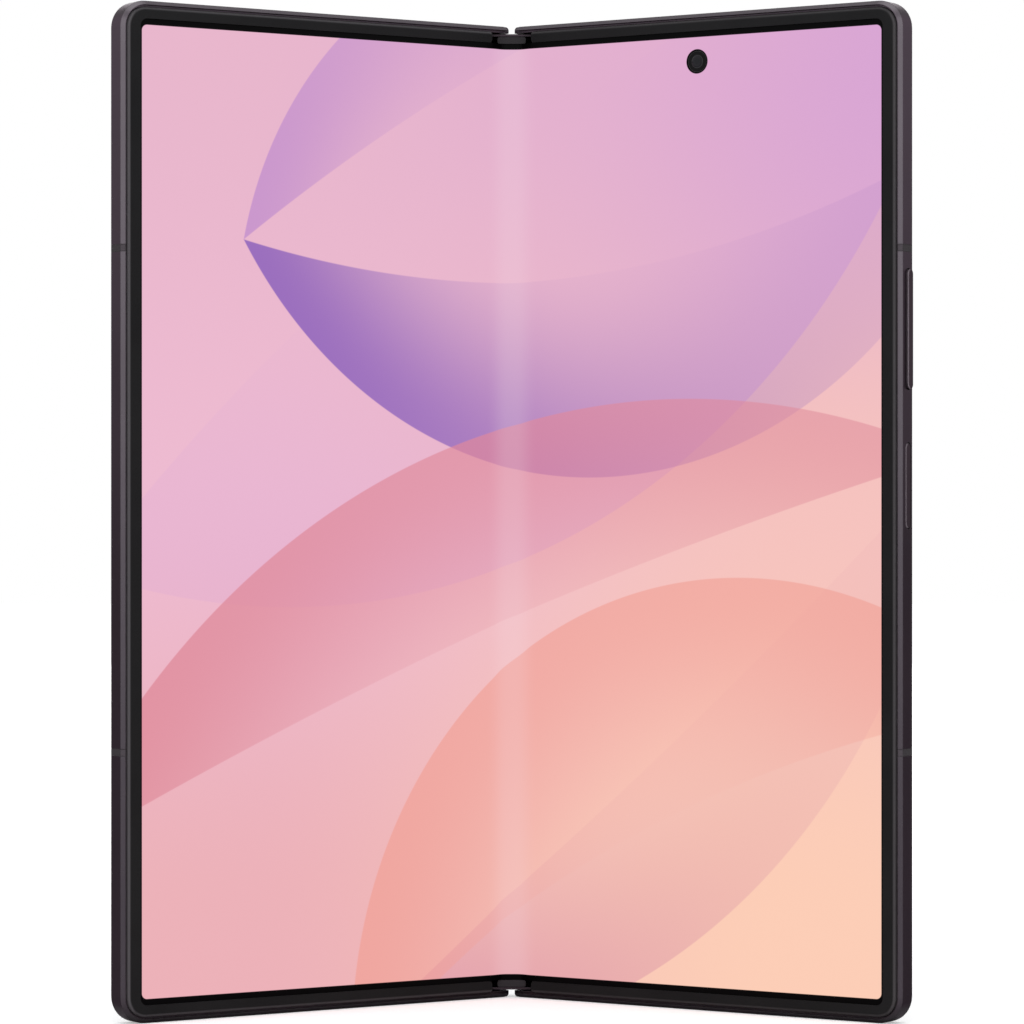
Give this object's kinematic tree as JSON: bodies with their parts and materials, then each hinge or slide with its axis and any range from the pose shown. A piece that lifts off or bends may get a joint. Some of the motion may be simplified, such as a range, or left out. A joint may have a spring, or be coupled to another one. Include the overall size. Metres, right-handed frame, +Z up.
{
  "type": "folding smartphone",
  "caption": "Book-style folding smartphone standing half open, with geared hinge, sprung keys, card tray and camera deck.",
  "frame": {"origin": "middle of the bounding box, on the surface that the lower rails stand on", "axes": "+X to the right half, +Y away from the viewer of the inner display, +Z up the phone"},
  "size_m": [0.1243, 0.0418, 0.1584],
  "materials": {
    "rail_metal": "satin anodised, dark plum grey",
    "rim_plastic": "soft matte black",
    "display": "glossy flexible display, lit",
    "display_edge": "glossy black",
    "back_glass": "frosted dark glass",
    "lens_glass": "polished",
    "flash": "clear diffuser",
    "steel": "machined",
    "gear_metal": "machined",
    "battery": "foil pouch",
    "board": "solder mask",
    "copper": "copper foil",
    "key_metal": "satin anodised",
    "insert": "moulded",
    "magnet": "plated"
  },
  "bodies": {
    "spine": {"spine_cover": "rail_metal", "hinge_bases": "steel", "detent_followers": "gear_metal", "detent_springs": "steel", "spine_screws": "steel", "fold_plate": "steel", "fold_caps": "rim_plastic", "display_fold": "display", "hinge_flex": "copper"},
    "left_half": {"left_frame": "rail_metal", "left_rim": "rim_plastic", "left_display": "display", "left_wing_plate": "steel", "left_brackets": "steel", "left_antenna_inserts": "insert", "left_magnets": "magnet", "left_battery": "battery", "left_board": "board", "left_screws": "steel", "cover_glass": "back_glass", "cover_display": "display_edge", "cover_camera": "rim_plastic", "top_speaker": "rim_plastic", "sim_reader": "steel"},
    "right_half": {"right_frame": "rail_metal", "right_rim": "rim_plastic", "right_display": "display", "right_wing_plate": "steel", "right_brackets": "steel", "right_antenna_inserts": "insert", "right_magnets": "magnet", "right_battery": "battery", "right_screws": "steel", "mainboard": "board", "shield_cans": "steel", "sub_board": "board", "rear_glass": "back_glass", "camera_deck": "rail_metal", "lens_rings": "rail_metal", "lens_glasses": "lens_glass", "camera_modules": "rim_plastic", "flash_lens": "flash", "selfie_camera": "rim_plastic", "wireless_coil": "copper", "usb_port": "steel", "loudspeaker": "rim_plastic", "haptic_motor": "steel", "key_switches": "copper"},
    "left_arms": {"left_sync_arms": "gear_metal"},
    "right_arms": {"right_sync_arms": "gear_metal"},
    "left_gears": {"left_idlers": "steel"},
    "right_gears": {"right_idlers": "steel"},
    "volume_key": {"volume_key": "key_metal"},
    "side_key": {"side_key": "key_metal"},
    "sim_tray": {"sim_tray": "rail_metal"}
  },
  "joints": [
    {"name": "right_fold", "type": "hinge", "parent": "spine", "child": "right_half", "pos_m": [0.00081, 0.01746, 0.0792], "axis": [0, 0, -1], "range_deg": [-32.8, 57.2], "deforming": ["display_fold", "hinge_flex"]},
    {"name": "left_fold", "type": "hinge", "parent": "spine", "child": "left_half", "pos_m": [-0.00081, 0.01746, 0.0792], "axis": [0, 0, 1], "range_deg": [-32.8, 57.2], "deforming": ["display_fold", "hinge_flex"]},
    {"name": "right_arm_turn", "type": "hinge", "parent": "spine", "child": "right_arms", "pos_m": [0.00165, 0.01914, 0.0792], "axis": [0, 0, -1], "range_deg": [-32.8, 57.2]},
    {"name": "left_arm_turn", "type": "hinge", "parent": "spine", "child": "left_arms", "pos_m": [-0.00165, 0.01914, 0.0792], "axis": [0, 0, 1], "range_deg": [-32.8, 57.2]},
    {"name": "right_gear_turn", "type": "hinge", "parent": "spine", "child": "right_gears", "pos_m": [0.00055, 0.01914, 0.0792], "axis": [0, 0, 1], "range_deg": [-32.8, 57.2]},
    {"name": "left_gear_turn", "type": "hinge", "parent": "spine", "child": "left_gears", "pos_m": [-0.00055, 0.01914, 0.0792], "axis": [0, 0, -1], "range_deg": [-32.8, 57.2]},
    {"name": "volume_rock", "type": "hinge", "parent": "right_half", "child": "volume_key", "pos_m": [0.05951, -0.01798, 0.1075], "axis": [-0.5417, -0.8406, 0], "range_deg": [-0.9, 0.9], "stiffness_Nm_per_rad": 0.3},
    {"name": "side_press", "type": "slide", "parent": "right_half", "child": "side_key", "axis": [-0.8406, 0.5417, 0], "range_m": [0, 0.00025], "stiffness_N_per_m": 2500},
    {"name": "tray_slide", "type": "slide", "parent": "left_half", "child": "sim_tray", "axis": [0, 0, 1], "range_m": [0, 0.018]}
  ],
  "couplings": [
    {"joint": "left_fold", "follows": "right_fold", "ratio": 1},
    {"joint": "right_arm_turn", "follows": "right_fold", "ratio": 1},
    {"joint": "left_arm_turn", "follows": "right_fold", "ratio": 1},
    {"joint": "right_gear_turn", "follows": "right_fold", "ratio": 1},
    {"joint": "left_gear_turn", "follows": "right_fold", "ratio": 1}
  ]
}
